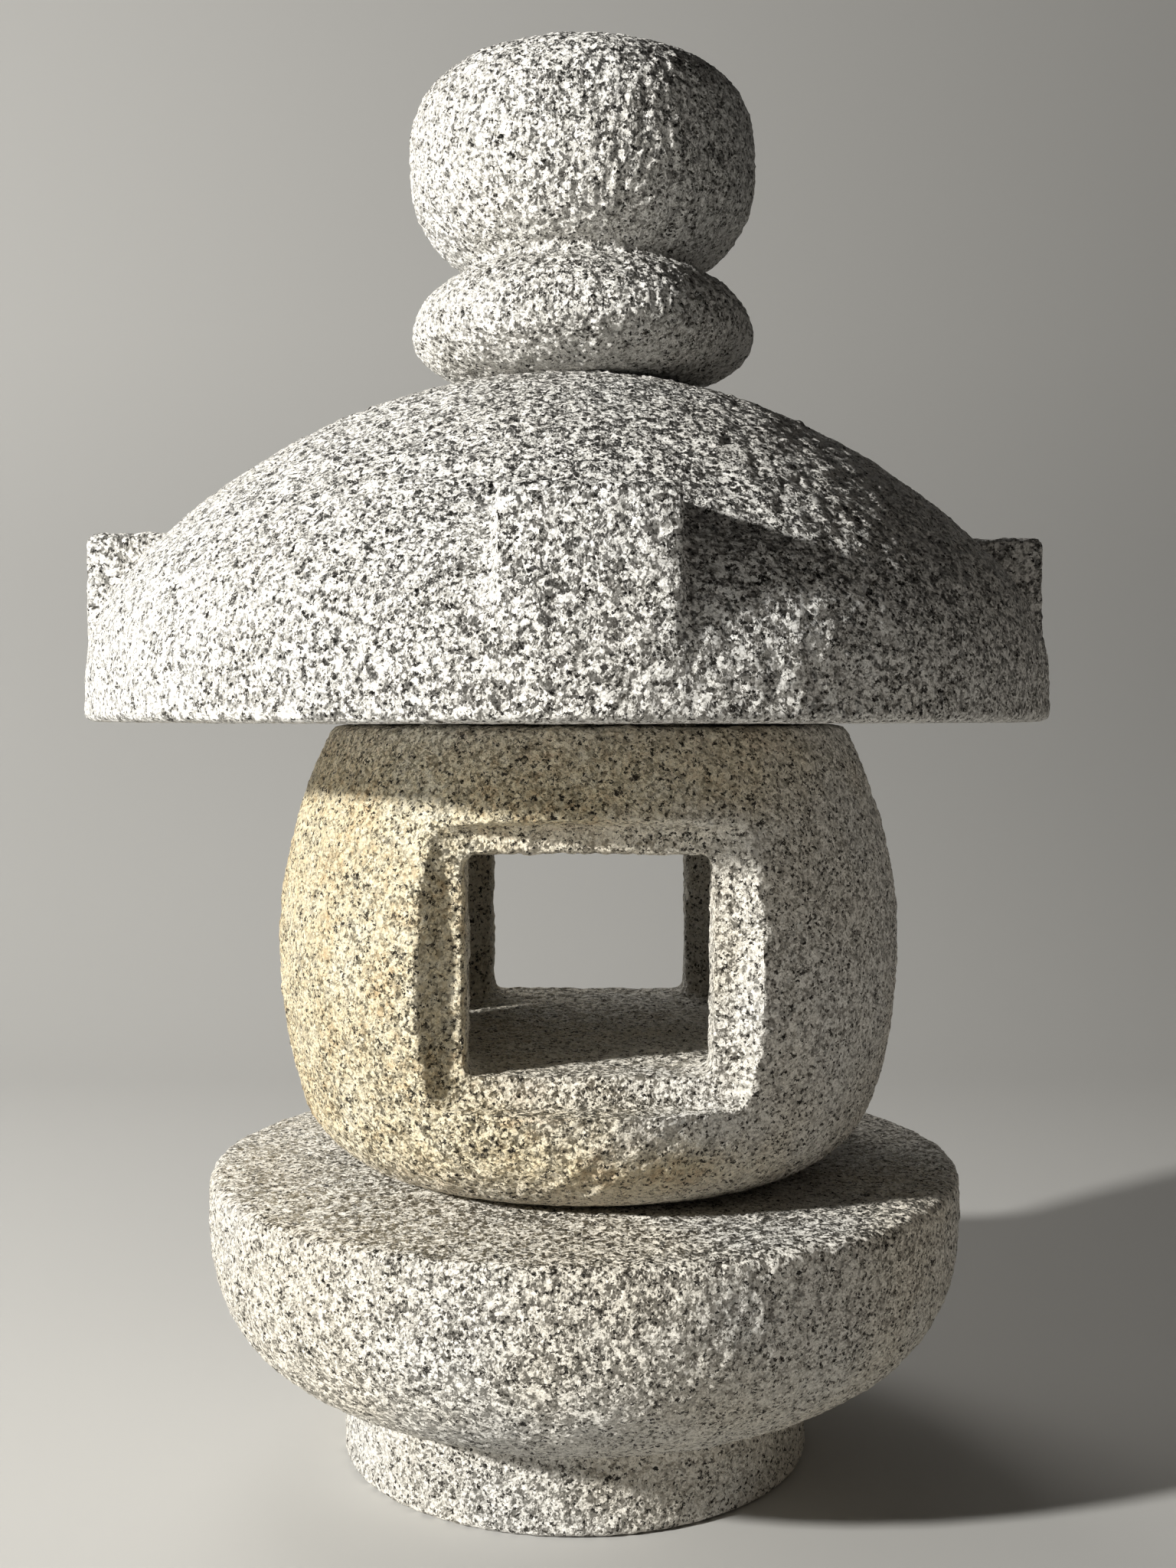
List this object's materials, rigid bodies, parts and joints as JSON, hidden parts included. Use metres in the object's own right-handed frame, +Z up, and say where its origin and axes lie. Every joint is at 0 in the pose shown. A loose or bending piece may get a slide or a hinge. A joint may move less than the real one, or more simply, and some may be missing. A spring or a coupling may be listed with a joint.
{
  "type": "stone garden lantern",
  "caption": "Stacked granite garden lantern: footed bowl-shaped base, barrel firebox with open windows for a candle, domed roof with raised blocks, and a jewel-shaped finial.",
  "frame": {"origin": "on the ground, under the centre of the whole lantern's bounding box, which is the roof's axis", "axes": "+Z up through the stack of stones; -Y out of the front window; +X to the right seen from the front"},
  "size_m": [0.298, 0.298, 0.4382],
  "materials": {
    "granite_base": "dressed granite",
    "granite_firebox": "bush-hammered granite, iron stained",
    "granite_roof": "bush-hammered granite",
    "granite_finial": "bush-hammered granite"
  },
  "bodies": {
    "base": {"base": "granite_base"},
    "firebox": {"firebox": "granite_firebox"},
    "roof": {"roof": "granite_roof"},
    "finial": {"finial": "granite_finial"}
  },
  "joints": [
    {"name": "firebox_lift", "type": "slide", "parent": "base", "child": "firebox", "axis": [0, 0, 1], "range_m": [0, 0.06]},
    {"name": "roof_lift", "type": "slide", "parent": "firebox", "child": "roof", "axis": [0, 0, 1], "range_m": [0, 0.08]},
    {"name": "finial_lift", "type": "slide", "parent": "roof", "child": "finial", "axis": [0, 0, 1], "range_m": [0, 0.06]}
  ]
}
